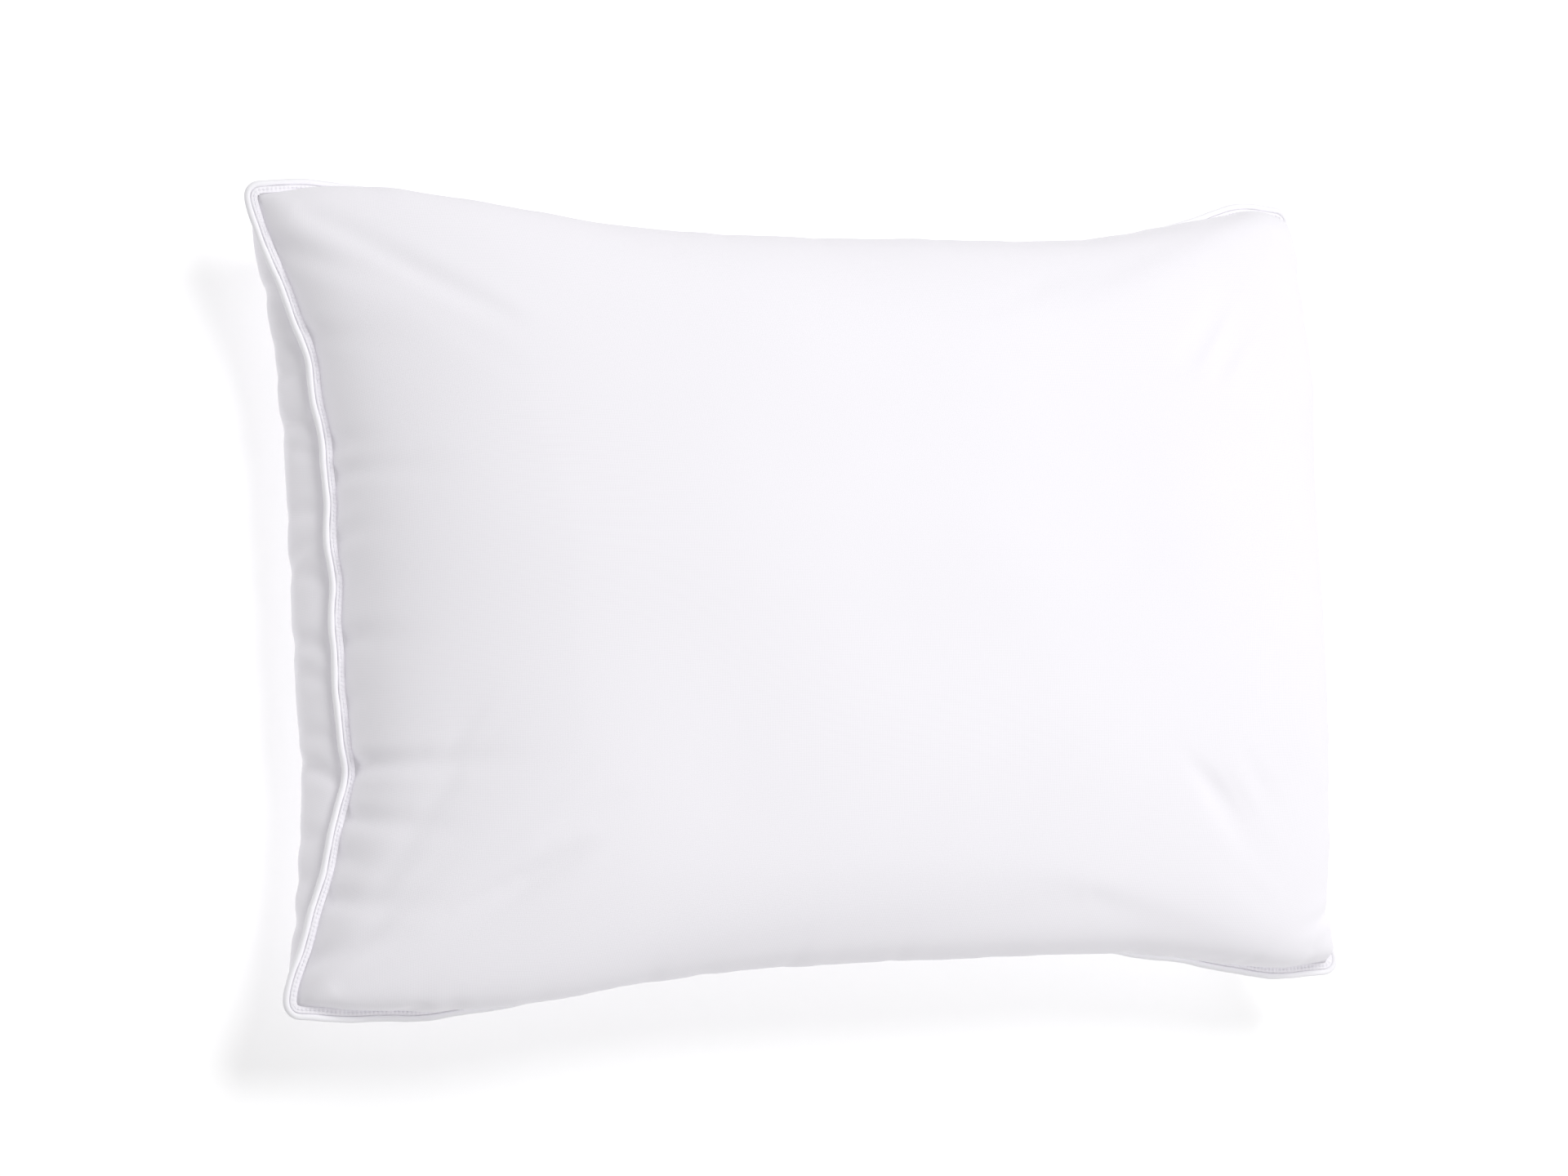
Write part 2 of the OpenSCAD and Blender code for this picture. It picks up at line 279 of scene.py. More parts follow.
def face_grid(name, side, cell, depth=0.0):
    """A grid laid over a crown in cells of nearly equal size, with the cloth's own UV in metres."""
    height = FRONT_HEIGHT if side > 0 else BACK_HEIGHT
    long_run = even_angles(HALF_LENGTH, FULL_X, height, 2)[1]
    wide_run = even_angles(HALF_WIDTH, FULL_Y, height, 2)[1]
    nx, ny = round(long_run / cell), round(wide_run / cell)
    deselect()
    bpy.ops.mesh.primitive_grid_add(x_subdivisions=nx, y_subdivisions=ny, size=1)
    piece = named(name)
    co = points_of(piece)
    i = np.rint((co[:, 0] + 0.5) * nx).astype(int)
    j = np.rint((co[:, 1] + 0.5) * ny).astype(int)
    middle_0 = even_angles(HALF_LENGTH, FULL_X, height, nx)[0]
    middle_1 = even_angles(HALF_WIDTH, FULL_Y, height, ny)[0]
    a0 = np.array([even_angles(HALF_LENGTH, FULL_X, height * h, nx)[0]
                   for h in np.cos(middle_1).clip(0) ** FULL_Y])
    a1 = np.array([even_angles(HALF_WIDTH, FULL_Y, height * h, ny)[0]
                   for h in np.cos(middle_0).clip(0) ** FULL_X])
    place(piece, crown(a0[j, i], a1[i, j], side, depth))
    scale_uv(piece, long_run, wide_run)
    if side < 0:
        piece.data.flip_normals()
    flat = np.stack([i / nx * long_run, j / ny * wide_run], -1)
    rim = (i == 0) | (i == nx) | (j == 0) | (j == ny)
    return piece, flat, rim, (long_run, wide_run)


def normals_of(piece):
    n = np.empty(len(piece.data.vertices) * 3)
    piece.data.vertex_normals.foreach_get("vector", n)
    return n.reshape(-1, 3)


# Puckers listed one by one: (place along the seam, reach, slant, width, depth), in millimetres but the
# slant
FRONT_LEFT = [(210, 130, -0.3, 12, 2.4), (157, 90, -0.1, 9, 1.6), (92, 80, -0.05, 9, 1.6),
              (73, 120, 0.0, 8, 2.2), (34, 80, 0.1, 8, 1.8), (-25, 90, 0.0, 9, 1.8),
              (-62, 60, 0.1, 8, 1.2), (-99, 170, -0.02, 8, 3.2), (-126, 120, -0.14, 8, 2.6),
              (-148, 70, -0.2, 8, 1.6), (-175, 110, -0.1, 9, 2.4), (-213, 90, 0.2, 9, 2.6)]
BACK_LEFT = [(183, 70, 0.1, 8, 1.8), (154, 60, 0.0, 7, 1.6), (134, 60, 0.1, 7, 1.6),
             (109, 90, -0.1, 8, 2.8), (89, 55, 0.1, 6, 1.6), (56, 70, -0.1, 7, 1.8),
             (42, 80, -0.5, 7, 2.2), (15, 70, 0.1, 8, 1.8), (-23, 90, 0.0, 8, 2.8),
             (-47, 50, 0.2, 7, 2.6), (-80, 70, 0.1, 7, 1.8), (-106, 90, 0.35, 8, 3.0),
             (-139, 70, 0.0, 8, 1.8), (-166, 60, 0.1, 8, 1.8), (-192, 60, 0.2, 8, 1.8)]


def scattered(rng, half, spacing, depth):
    """Seeded puckers for a seam that nothing is chosen for."""
    found, at = [], -half + 15
    while at < half - 12:
        found.append((at, rng.uniform(35, 80), rng.uniform(-0.3, 0.3),
                      rng.uniform(6, 10), depth * rng.uniform(0.4, 1.0)))
        at += spacing * rng.uniform(0.6, 1.5)
    return found


def pucker_depth(inward, along, puckers):
    """How far the face moves in or out at these distances from a seam and places along it."""
    move = np.zeros_like(inward)
    for at, reach, slant, width, depth in puckers:
        # a pucker widens as it runs in, and it starts a little way from the seam
        f = inward / (reach * MM)
        across = (along - at * MM - slant * inward) / (width * MM * (0.7 + 0.6 * f))
        fade = (1 - f.clip(0, 1) ** 2) ** 2 * (1 - np.exp(-inward / PUCKER_START))
        move += depth * MM * fade * (across ** 2 - 1) * np.exp(-across ** 2)
    return move


def soft_lumps(rng, points, size, height):
    """A smooth seeded unevenness, as the filling gives."""
    move = np.zeros(len(points))
    for k in range(9):
        turn = rng.uniform(0, pi)
        wave = 2 * pi / (size * rng.uniform(0.7, 1.6))
        place_along = points[:, 0] * np.cos(turn) + points[:, 1] * np.sin(turn)
        move += np.sin(place_along * wave + rng.uniform(0, 2 * pi)) / 3
    return move * height


def inflate(piece, rim, cap):
    """Cloth under pressure from inside, held at its foot; no point moves further than cap."""
    start = points_of(piece)
    group = piece.vertex_groups.new(name="foot")
    group.add([int(k) for k in np.flatnonzero(rim)], 1.0, "REPLACE")
    cloth = piece.modifiers.new("Cloth", "CLOTH")
    feel = cloth.settings
    feel.vertex_group_mass = "foot"
    feel.quality = 5
    feel.mass = 0.15
    feel.tension_stiffness = feel.compression_stiffness = 30
    feel.shear_stiffness = 8
    feel.bending_stiffness = 0.3
    feel.air_damping = 2
    feel.use_pressure = True
    feel.uniform_pressure_force = 4
    feel.effector_weights.gravity = 0
    cloth.collision_settings.use_collision = False
    scene = bpy.context.scene
    scene.frame_start, scene.frame_end = 1, CLOTH_FRAMES
    for number in range(1, CLOTH_FRAMES + 1):
        scene.frame_set(number)
    deselect()
    piece.select_set(True)
    bpy.context.view_layer.objects.active = piece
    bpy.ops.object.modifier_apply(modifier=cloth.name)
    scene.frame_set(1)
    piece.vertex_groups.clear()
    move = points_of(piece) - start
    far = np.linalg.norm(move, axis=1, keepdims=True)
    place(piece, start + move * np.minimum(1, cap / np.maximum(far, 1e-9)))


def make_panel(name, side):
    piece, flat, rim, (long_run, wide_run) = face_grid(name, side, CELL)
    rng = np.random.default_rng(11 if side > 0 else 23)
    points, out = points_of(piece), normals_of(piece)
    half_l, half_w = HALF_LENGTH / MM, HALF_WIDTH / MM
    left = FRONT_LEFT if side > 0 else BACK_LEFT
    move = pucker_depth(flat[:, 0], points[:, 1], left)
    if side < 0:
        # the back's puckers are deep beside the seam and then run on faintly
        move *= 0.45 + 0.55 * np.exp(-(flat[:, 0] / BACK_PUCKER_RUN) ** 2)
    move += pucker_depth(long_run - flat[:, 0], points[:, 1], scattered(rng, half_w, *RIGHT_PUCKERS))
    move += pucker_depth(wide_run - flat[:, 1], points[:, 0], scattered(rng, half_l, *UPPER_PUCKERS))
    move += pucker_depth(flat[:, 1], points[:, 0], scattered(rng, half_l, *LOWER_PUCKERS))
    deep = np.min([flat[:, 0], long_run - flat[:, 0], flat[:, 1], wide_run - flat[:, 1]], axis=0)
    lumps = soft_lumps(rng, points, LUMP_SIZE, LUMP_HEIGHT) * (1 - np.exp(-deep / LUMP_FADE))
    place(piece, points + out * (move * BEFORE_INFLATING + lumps)[:, None])
    inflate(piece, rim, CLOTH_MOVE)
    points = points_of(piece) + out * move[:, None]
    points[:, 2] = points[:, 2].clip(0, cad_high[2] + ROOM_ABOVE)
    place(piece, points)
    finish_with(piece, "SUBSURF", levels=1, render_levels=1)
    finish_with(piece, "SOLIDIFY", thickness=CLOTH, offset=-1)
    bpy.ops.object.shade_smooth()
    return piece


# ---------------------------------------------------------------- the edge

def ring_run(points):
    step = np.linalg.norm(np.roll(points, -1, axis=0) - points, axis=1)
    return np.concatenate([[0], np.cumsum(step)])


def even_ring(points, count):
    """The same closed line with count points at even distances."""
    run = ring_run(points)
    at = np.linspace(0, run[-1], count, endpoint=False)
    closed = np.vstack([points, points[:1]])
    return np.stack([np.interp(at, run, closed[:, k]) for k in range(points.shape[1])], -1)


def foot_line(count=4800):
    """The foot of the walls, anticlockwise from the lower right corner, with rounded corners."""
    t = np.linspace(-1, 1, 900, endpoint=False)
    one = np.ones_like(t)
    sides = [(one, t), (-t, one), (-one, -t), (t, -one)]
    line = np.hstack([np.array(plan(*s)) + seam_wander(*s) for s in sides])
    line = even_ring(line.T, count)
    window = int(ROUNDED_RUN / (ring_run(line)[-1] / count))
    for k in range(2):
        wide = np.vstack([line[-window:], line, line[:window]])
        total = np.vstack([[0, 0], np.cumsum(wide, axis=0)])
        half = window // 4
        mid = np.arange(count) + window
        line = (total[mid + half + 1] - total[mid - half]) / (2 * half + 1)
    return line


FOOT = foot_line()
FOOT_STEP = np.roll(FOOT, -1, axis=0) - np.roll(FOOT, 1, axis=0)
FOOT_OUT = np.stack([FOOT_STEP[:, 1], -FOOT_STEP[:, 0]], -1)
FOOT_OUT /= np.linalg.norm(FOOT_OUT, axis=1, keepdims=True)


def edge_line(out, count):
    """An even line round the edge at this distance out, with its outward directions."""
    line = even_ring(FOOT + FOOT_OUT * out, count)
    step = np.roll(line, -1, axis=0) - np.roll(line, 1, axis=0)
    away = np.stack([step[:, 1], -step[:, 0]], -1)
    return line, away / np.linalg.norm(away, axis=1, keepdims=True)


def ring_points(out, up, middle, count):
    """Points of profiles out and up carried round the edge, one row per point of the line."""
    line, away = edge_line(middle, count)
    sides = out.shape[-1]
    out = np.broadcast_to(out, (count, sides))
    up = np.broadcast_to(up, (count, sides))
    xy = line[:, None, :] + away[:, None, :] * (out - middle)[:, :, None]
    return np.concatenate([xy, (SEAM_Z + up)[:, :, None]], -1)


def closed_band(name, points):
    """A grid rolled up both ways, through rows of points round the edge, and closed."""
    count, sides = points.shape[:2]
    deselect()
    bpy.ops.mesh.primitive_grid_add(x_subdivisions=count, y_subdivisions=sides, size=1)
    piece = named(name)
    co = points_of(piece)
    i = np.rint((co[:, 0] + 0.5) * count).astype(int) % count
    j = np.rint((co[:, 1] + 0.5) * sides).astype(int) % sides
    place(piece, points[i, j])
    scale_uv(piece, ring_run(points[:, 0, :2])[-1], ring_run(points[0])[-1])
    bpy.ops.object.mode_set(mode="EDIT")
    bpy.ops.mesh.select_all(action="SELECT")
    bpy.ops.mesh.remove_doubles(threshold=0.001 * MM)
    bpy.ops.object.mode_set(mode="OBJECT")
    bpy.ops.object.shade_smooth()
    return piece


def band(name, out, up, middle, count):
    return closed_band(name, ring_points(out, up, middle, count))


def edge_length(out):
    return ring_run(edge_line(out, 2400)[0])[-1]


def make_flange(name, side):
    """The flat edge of a panel, dimpled at each needle hole and folded in beside the cord."""
    # four rows of points to a stitch: one at the needle hole and three between
    stitches = round(edge_length(FLANGE - TOPSTITCH_IN) / STITCH)
    count = stitches * 4
    hole = np.array([1, 0.15, 0, 0.15])[np.arange(count) % 4][:, None]
    t = np.arange(count)[:, None] / count * 2 * pi
    ripple = 0.12 * MM * (np.sin(151 * t) + np.sin(233 * t + 1) + np.sin(67 * t + 2))
    # from inside the panel, out along the lower face, round the fold, and back over the stitches
    out = np.array([-1.5, -1.5, FLANGE / MM - 0.3, FLANGE / MM, FLANGE / MM - 0.35,
                    3.1, 2.0, 0.9, 0.1]) * MM
    low = LAYER_GAP + CLOTH
    top = SKIN_TOP
    up = np.array([top, low, low, (low + top) / 2, top, top + 0.1 * MM, top - 0.1 * MM,
                   top + 0.1 * MM, top])
    weight = np.array([0, 0, 0, 0, 0.2, 0.45, 1, 0.45, 0.1])
    up = up - weight * (hole * 0.6 - 0.15) * MM + weight.clip(0.2) * ripple * (up > low)
    if side < 0:
        return band(name, out[::-1], -up[:, ::-1], FLANGE - TOPSTITCH_IN, count)
    return band(name, out, up, FLANGE - TOPSTITCH_IN, count)


def make_cover():
    """The bias strip round the cord: a tube with slight slanting creases."""
    count, sides = 1900, 16
    a = np.arange(sides) / sides * 2 * pi
    t = np.arange(count)[:, None] / count * 2 * pi
    slant = 0.05 * MM * np.sin(700 * t + 2 * a) * (0.5 + 0.5 * np.sin(31 * t))
    slow = 0.06 * MM * (np.sin(97 * t + 1) + np.sin(143 * t + a))
    radius = COVER_R + slant + slow
    return band("piping_cover", CORD_OUT + radius * np.cos(a), radius * np.sin(a), CORD_OUT, count)


def make_cord():
    """Three-strand filler cord; it fills its cover."""
    count, sides = 2100, 12
    a = np.arange(sides) / sides * 2 * pi
    t = np.arange(count)[:, None] / count * 2 * pi
    twists = round(edge_length(CORD_OUT) / CORD_TWIST)
    radius = CORD / 2 * (0.92 + 0.08 * np.cos(3 * (a - twists * t)))
    return band("piping_cord", CORD_OUT + radius * np.cos(a), radius * np.sin(a), CORD_OUT, count)


def make_overlock():
    """The looped thread over the raw edges, as a scalloped band."""
    loops = round(edge_length(FLANGE - ALLOWANCE) / OVERLOCK_LOOP)
    count = loops * 4
    edge = (FLANGE - ALLOWANCE) - LAYER_GAP
    t = np.arange(count)[:, None] / count * 2 * pi
    scallop = 0.3 * MM * np.cos(loops * t)
    shape = np.array([0, -0.2, -1, -1, -0.2, 0]) * MM
    high = np.array([0.7, 1, 0.8, -0.8, -1, -0.7]) * ALLOWANCE_TOP
    out = (edge + shape + scallop * (shape < -0.5 * MM))[:, ::-1]
    line = edge_line(FLANGE, count)[0][:, None, :]
    points = ring_points(out, high[::-1], FLANGE, count)
    points[:, :, :2] = line * (1 + (out - FLANGE)[:, :, None] / [HALF_LENGTH, HALF_WIDTH])
    return closed_band("overlock_thread", points)


# ---------------------------------------------------------------- threads

def one_stitch(length, thick):
    """One stitch along X: a short thread that dips at both ends."""
    deselect()
    bpy.ops.mesh.primitive_cylinder_add(vertices=6, radius=thick / 2, depth=length,
                                        rotation=(0, pi / 2, 0))
    piece = named("stitch")
    settle(piece)
    bpy.ops.object.mode_set(mode="EDIT")
    bpy.ops.mesh.select_all(action="SELECT")
    bpy.ops.mesh.bisect(plane_co=(length / 4, 0, 0), plane_no=(1, 0, 0))
    bpy.ops.mesh.select_all(action="SELECT")
    bpy.ops.mesh.bisect(plane_co=(-length / 4, 0, 0), plane_no=(1, 0, 0))
    bpy.ops.object.mode_set(mode="OBJECT")
    points = points_of(piece)
    end = np.abs(points[:, 0]) / (length / 2)
    points[:, 1:] *= (1.15 - 0.45 * end ** 4)[:, None]
    points[:, 2] -= end ** 3 * 0.3 * MM
    place(piece, points)
    return piece


def sew(name, rows, length=0.86):
    """Copies of one stitch along each row: (points, outward directions, height, side)."""
    stitch = one_stitch(STITCH * length, THREAD * THREAD_DRAWN)
    shape = points_of(stitch)
    faces = [list(p.vertices) for p in stitch.data.polygons]
    verts, polys = [], []
    for line, away, height, side in rows:
        along = np.stack([-away[:, 1], away[:, 0]], -1)
        ahead = along * np.cos(STITCH_SLANT) + away * np.sin(STITCH_SLANT) * side
        across = np.stack([-ahead[:, 1], ahead[:, 0]], -1) * side
        base = sum(len(v) for v in verts)
        xy = (line[:, None] + ahead[:, None] * shape[None, :, :1] + across[:, None] * shape[None, :, 1:2])
        z = np.broadcast_to(SEAM_Z + side * (height + shape[None, :, 2:]), xy.shape[:2] + (1,))
        verts.append(np.concatenate([xy, z], -1).reshape(-1, 3))
        for k in range(len(line)):
            first = base + k * len(shape)
            polys += [[first + v for v in face] for face in faces]
    bpy.data.objects.remove(stitch)
    mesh = bpy.data.meshes.new(name)
    mesh.from_pydata(np.vstack(verts).tolist(), [], polys)
    piece = bpy.data.objects.new(name, mesh)
    bpy.context.collection.objects.link(piece)
    piece.data.shade_smooth()
    return piece


def stitch_row(out, height, side):
    count = round(edge_length(out) / STITCH)
    line, away = edge_line(out, count * 2)
    return line[1::2], away[1::2], height, side


def opening_row(out, height, side):
    """The part of a row that closes the filling opening, in the middle of the right side."""
    line, away, height, side = stitch_row(out, height, side)
    here = (line[:, 0] > 0) & (np.abs(line[:, 1]) < OPENING / 2)
    return line[here] + 0.2 * STITCH, away[here], height, side


TOP_LEVEL = SKIN_TOP + THREAD_GAP + THREAD / 2 - 0.05 * MM
STITCH_OUT = FLANGE - TOPSTITCH_IN


def make_threads():
    seam_level = ALLOWANCE_TOP + THREAD_GAP + THREAD / 2
    seam_out = FLANGE - 3 * CLOTH
    close_out = FLANGE - TOPSTITCH_IN / 2 + THREAD
    return {
        "topstitch_needle_thread": sew("topstitch_needle_thread", [stitch_row(STITCH_OUT, TOP_LEVEL, 1)]),
        "topstitch_bobbin_thread": sew("topstitch_bobbin_thread", [stitch_row(STITCH_OUT, TOP_LEVEL, -1)]),
        "seam_thread": sew("seam_thread", [stitch_row(seam_out, seam_level, s) for s in (1, -1)]),
        "closing_stitch": sew("closing_stitch", [opening_row(close_out, TOP_LEVEL, s) for s in (1, -1)]),
    }


# ---------------------------------------------------------------- label and filling

LABEL_Y = -0.62 * HALF_WIDTH
LABEL_START = FLANGE - TOPSTITCH_IN + 2 * THREAD
LABEL_LEVEL = -(COVER_R + LAYER_GAP)


def label_path(f):
    """[out, up] of the label at share f of its length: it bends over and then hangs."""
    share = 0.625
    bend = LABEL_LONG * share * 2 / pi
    turn = pi / 2 * np.minimum(f / share, 1)
    hang = LABEL_LONG * np.maximum(f - share, 0)
    return LABEL_START + bend * np.sin(turn), LABEL_LEVEL - bend * (1 - np.cos(turn)) - hang


def make_label():
    deselect()
    bpy.ops.mesh.primitive_grid_add(x_subdivisions=40, y_subdivisions=42, size=1)
    piece = named("care_label")
    co = points_of(piece)
    f, y = co[:, 0] + 0.5, LABEL_Y + co[:, 1] * LABEL_WIDE
    out, up = label_path(f)
    foot = plan(np.ones_like(y), y / HALF_WIDTH)[0]
    curl = 1.2 * MM * f ** 2 * np.cos(pi * 2 * co[:, 1] + 0.6)
    place(piece, np.stack([foot + out + curl, y, SEAM_Z + up], -1))
    scale_uv(piece, LABEL_LONG, LABEL_WIDE)
    finish_with(piece, "SOLIDIFY", thickness=LABEL_THICK, offset=1)
    bpy.ops.object.shade_smooth()
    return piece


def make_label_stitch():
    y = LABEL_Y + np.arange(-7, 8) * STITCH
    foot = plan(np.ones_like(y), y / HALF_WIDTH)[0]
    line = np.stack([foot + LABEL_START + 2 * THREAD, y], -1)
    away = np.tile([1.0, 0.0], (len(y), 1))
    level = -LABEL_LEVEL + LABEL_THICK + THREAD_GAP + THREAD / 2
    return sew("label_stitch", [(line, away, level, -1)])


def make_fill():
    """The fibre fill: both crowns set in by the cloth, bridged at the seam, softly lumpy."""
    inset = CLOTH + FILL_INSET
    halves = [face_grid("fill_half", side, FILL_CELL, inset)[0] for side in (1, -1)]
    piece = join(halves, "fibre_fill")
    points = points_of(piece)
    points[:, 0] *= 1 - (ALLOWANCE + 2 * MM) / HALF_LENGTH
    points[:, 1] *= 1 - (ALLOWANCE + 2 * MM) / HALF_WIDTH
    points[:, 2] = points[:, 2].clip(2 * MM)
    place(piece, points)
    bpy.ops.object.mode_set(mode="EDIT")
    bpy.ops.mesh.select_mode(type="EDGE")
    bpy.ops.mesh.select_all(action="DESELECT")
    bpy.ops.mesh.select_non_manifold()
    bpy.ops.mesh.bridge_edge_loops()
    bpy.ops.mesh.select_all(action="SELECT")
    bpy.ops.mesh.normals_make_consistent(inside=False)
    bpy.ops.object.mode_set(mode="OBJECT")
    rng = np.random.default_rng(5)
    lumps = soft_lumps(rng, points_of(piece), 0.05, 1.2 * MM)
    place(piece, points_of(piece) - normals_of(piece) * np.abs(lumps)[:, None])
    finish_with(piece, "SUBSURF", levels=1, render_levels=1)
    bpy.ops.object.shade_smooth()
    return piece


# ---------------------------------------------------------------- materials

def colour(code):
    """An sRGB hex value as linear red, green, blue and alpha."""
    parts = [int(code[k:k + 2], 16) / 255 for k in (0, 2, 4)]
    return tuple(c / 12.92 if c <= 0.04045 else ((c + 0.055) / 1.055) ** 2.4 for c in parts) + (1,)


def add(tree, kind, links=(), **settings):
    """A node of this kind with its settings, and links from (node, output) to its inputs."""
    node = tree.nodes.new(kind)
    for key, value in settings.items():
        if key.startswith("in_"):
            name = key[3:].replace("_", " ")
            node.inputs[int(name) if name.isdigit() else name].default_value = value
        else:
            setattr(node, key, value)
    for source, output, target in links:
        tree.links.new(source.outputs[output], node.inputs[target])
    return node


def new_material(name):
    material = bpy.data.materials.new(name)
    material.use_nodes = True
    tree = material.node_tree
    tree.nodes.clear()
    output = add(tree, "ShaderNodeOutputMaterial")
    shader = add(tree, "ShaderNodeBsdfPrincipled")
    tree.links.new(shader.outputs[0], output.inputs[0])
    return material, tree, shader


def woven(name, pale, shade, pitch, relief, sheen, coordinates="UV"):
    """Plain-woven cloth: threads over and under at this pitch, with slubs and soft colour."""
    material, tree, shader = new_material(name)
    shader.inputs["Roughness"].default_value = 0.9
    shader.inputs["IOR"].default_value = 1.47
    shader.inputs["Specular IOR Level"].default_value = 0.25
    shader.inputs["Sheen Weight"].default_value = sheen
    shader.inputs["Sheen Roughness"].default_value = 0.45
    where = add(tree, "ShaderNodeTexCoord")
    turned = add(tree, "ShaderNodeMapping", [(where, coordinates, "Vector")],
                 in_Scale=(2 * pi / pitch, 2 * pi / pitch, 2 * pi / pitch))
    axes = add(tree, "ShaderNodeSeparateXYZ", [(turned, 0, 0)])
    warp = add(tree, "ShaderNodeMath", [(axes, 0, 0)], operation="SINE")
    weft = add(tree, "ShaderNodeMath", [(axes, 1, 0)], operation="SINE")
    crossing = add(tree, "ShaderNodeMath", [(warp, 0, 0), (weft, 0, 1)], operation="ADD")
    slub_where = add(tree, "ShaderNodeMapping", [(where, coordinates, "Vector")],
                     in_Scale=(60, 900, 60))
    slub = add(tree, "ShaderNodeTexNoise", [(slub_where, 0, "Vector")], in_Scale=1.0, in_Detail=2.0)
    height = add(tree, "ShaderNodeMath", [(crossing, 0, 0), (slub, 0, 1)], operation="ADD")
    bump_node = add(tree, "ShaderNodeBump", [(height, 0, "Height")], in_Strength=relief,
                    in_Distance=0.1 * MM)
    soft = add(tree, "ShaderNodeTexNoise", [(where, coordinates, "Vector")], in_Scale=9.0,
               in_Detail=3.0)
    mix = add(tree, "ShaderNodeMix", data_type="RGBA")
    mix.inputs[6].default_value = colour(shade)
    mix.inputs[7].default_value = colour(pale)
    tree.links.new(soft.outputs[0], mix.inputs[0])
    tree.links.new(mix.outputs[2], shader.inputs["Base Color"])
    tree.links.new(bump_node.outputs[0], shader.inputs["Normal"])
    return material


def strands(name, pale, shade, pitch, slant, rough):
    """Twisted fibre: fine slanting strands wound round a thread or cord."""
    material, tree, shader = new_material(name)
    shader.inputs["Roughness"].default_value = rough
    shader.inputs["Specular IOR Level"].default_value = 0.35
    shader.inputs["Sheen Weight"].default_value = 0.1
    where = add(tree, "ShaderNodeTexCoord")
    turned = add(tree, "ShaderNodeMapping", [(where, "Object", "Vector")],
                 in_Rotation=(0, 0, slant), in_Scale=(1 / pitch, 1 / pitch, 1 / pitch))
    wave = add(tree, "ShaderNodeTexWave", [(turned, 0, "Vector")], in_Scale=1.0,
               in_Distortion=1.5, in_Detail=1.0)
    bump_node = add(tree, "ShaderNodeBump", [(wave, 1, "Height")], in_Strength=0.4,
                    in_Distance=0.1 * MM)
    mix = add(tree, "ShaderNodeMix", data_type="RGBA")
    mix.inputs[6].default_value = colour(shade)
    mix.inputs[7].default_value = colour(pale)
    tree.links.new(wave.outputs[1], mix.inputs[0])
    tree.links.new(mix.outputs[2], shader.inputs["Base Color"])
    tree.links.new(bump_node.outputs[0], shader.inputs["Normal"])
    return material


# Cotton percale, bleached: a close plain weave of fine matt threads, cool white. The real threads
# are 0.25 mm apart, too fine to show, so they are drawn coarser, 1.1 mm apart.
percale = woven("cotton_percale", "F7F5FA", "F4F2F7", pitch=1.1 * MM, relief=0.12, sheen=0.08)
# The same cotton cut on the bias and drawn tight over the cord, so it looks smoother; its colour is a
# painted highlight, a little lighter than the panels' cotton. Its threads too are drawn coarser, 1 mm
# apart.
bias = woven("cotton_bias", "F9F8FB", "F5F4F8", pitch=1.0 * MM, relief=0.12, sheen=0.08)
# Twisted cotton filler cord: three soft strands, matt and creamy.
cord_cotton = strands("cotton_cord", "F2F0E8", "E6E3DA", pitch=1.2 * MM, slant=0.6, rough=0.85)
# Hollow conjugate polyester fibre: fluffy and slightly shiny; its fibres are too fine to show, so
# they are drawn coarser, 1.5 mm apart.
fibre = strands("polyester_fibre", "F8F8F8", "EEEEF0", pitch=1.5 * MM, slant=0.3, rough=0.6)
# Spun polyester sewing thread, two plies; a faint gloss. The ply is drawn 0.5 mm long.
thread = strands("sewing_thread", "FBFAFE", "EDEBF3", pitch=0.5 * MM, slant=0.8, rough=0.5)
# Woven label tape, smooth satin-faced polyester; its threads are drawn coarser, 0.8 mm apart.
tape = woven("label_tape", "F4F3F2", "EDECEB", pitch=0.8 * MM, relief=0.25, sheen=0.05)


# ---------------------------------------------------------------- putting it together

def dress(piece, material):
    piece.data.materials.clear()
    piece.data.materials.append(material)
    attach(piece, "root")
    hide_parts(piece["stands_for"])


def keep(piece, node, material):
    piece.name = node + "_soft"
    piece["stands_for"] = node
    dress(piece, material)
    return piece


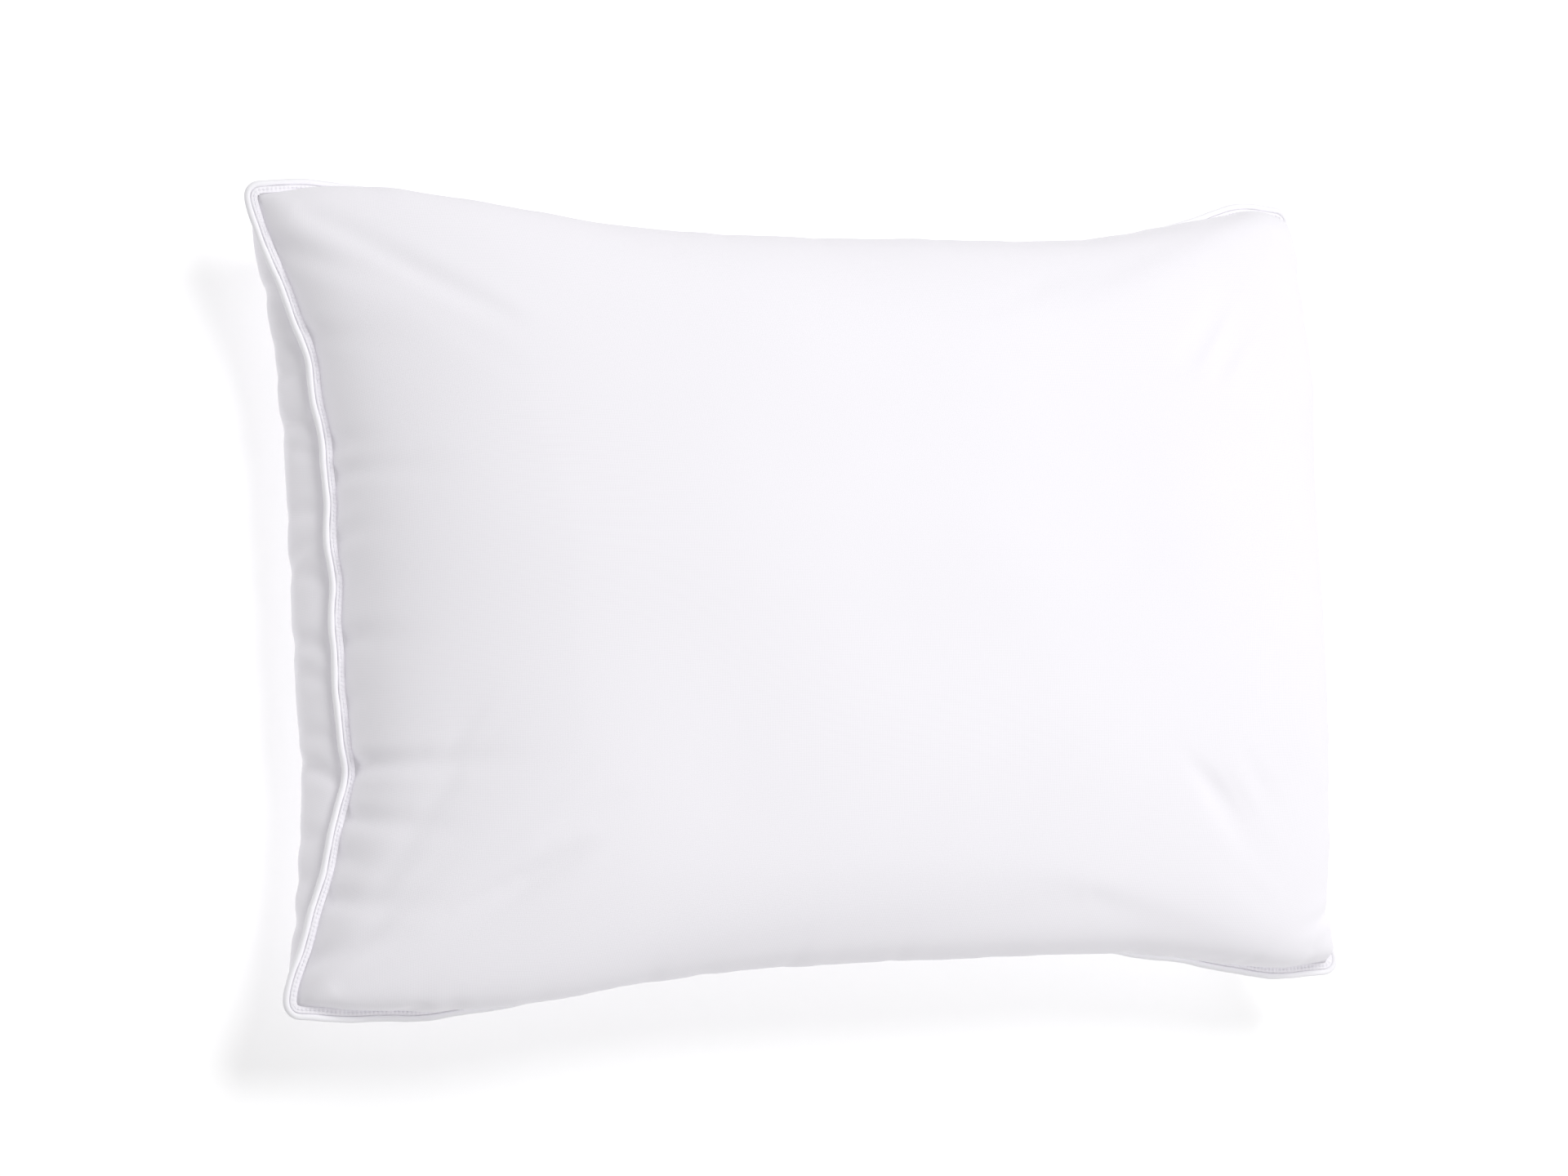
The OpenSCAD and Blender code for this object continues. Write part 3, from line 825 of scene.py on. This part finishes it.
front = join([make_panel("front", 1), make_flange("front_flange", 1)], "front")
back = join([make_panel("back", -1), make_flange("back_flange", -1)], "back")
keep(front, "front_panel", percale)
keep(back, "back_panel", percale)
filling = keep(make_fill(), "fibre_fill", fibre)
keep(make_cord(), "piping_cord", cord_cotton)
# The cord's cover wears the lighter bias cotton, a painted highlight along the cord
keep(make_cover(), "piping_cover", bias)
keep(make_overlock(), "overlock_thread", thread)
for node, row in make_threads().items():
    keep(row, node, thread)
label = keep(make_label(), "care_label", tape)
keep(make_label_stitch(), "label_stitch", thread)


# ---------------------------------------------------------------- floor, light and camera

def make_floor():
    deselect()
    bpy.ops.mesh.primitive_plane_add(size=14)
    floor = named("floor")
    # Matt white paper: it has no gloss, and it glows a little so that it stays white
    material, tree, shader = new_material("matt_white_paper")
    shader.inputs["Base Color"].default_value = colour("FCFCFC")
    shader.inputs["Roughness"].default_value = 1.0
    shader.inputs["Specular IOR Level"].default_value = 0.0
    shader.inputs["Emission Color"].default_value = (1, 1, 1, 1)
    shader.inputs["Emission Strength"].default_value = 0.16
    floor.data.materials.append(material)


def area_light(name, place_at, aim, size, power, shadow=True):
    light = bpy.data.lights.new(name, "AREA")
    light.shape = "DISK"
    light.size = size
    light.energy = power
    light.use_shadow = shadow
    lamp = bpy.data.objects.new(name, light)
    bpy.context.collection.objects.link(lamp)
    lamp.location = place_at
    lamp.rotation_euler = (Vector(aim) - Vector(place_at)).to_track_quat("-Z", "Y").to_euler()


make_floor()
area_light("key", (0.1, 1.1, 3.0), (0, 0, 0.1), size=1.3, power=36)
area_light("side", (2.1, -0.5, 2.7), (0, 0, 0.1), size=2.6, power=38, shadow=False)

world = bpy.data.worlds.new("studio")
bpy.context.scene.world = world
world.use_nodes = True
world.node_tree.nodes["Background"].inputs[0].default_value = (1, 1, 1, 1)
world.node_tree.nodes["Background"].inputs[1].default_value = 0.45

bpy.context.scene.view_settings.view_transform = "Standard"

# The camera looks down on the front panel from beyond its left end, through a long lens
CAMERA_LENS = 137.2
CAMERA_AT = -1.631, -0.351, 3.247 + SEAM_Z
CAMERA_TURN = radians(7.20), radians(-26.05), radians(-3.63)
camera_data = bpy.data.cameras.new("camera")
camera = bpy.data.objects.new("camera", camera_data)
bpy.context.collection.objects.link(camera)
camera_data.lens = CAMERA_LENS
camera_data.sensor_width = 36
camera.location = CAMERA_AT
camera.rotation_euler = CAMERA_TURN
bpy.context.scene.camera = camera
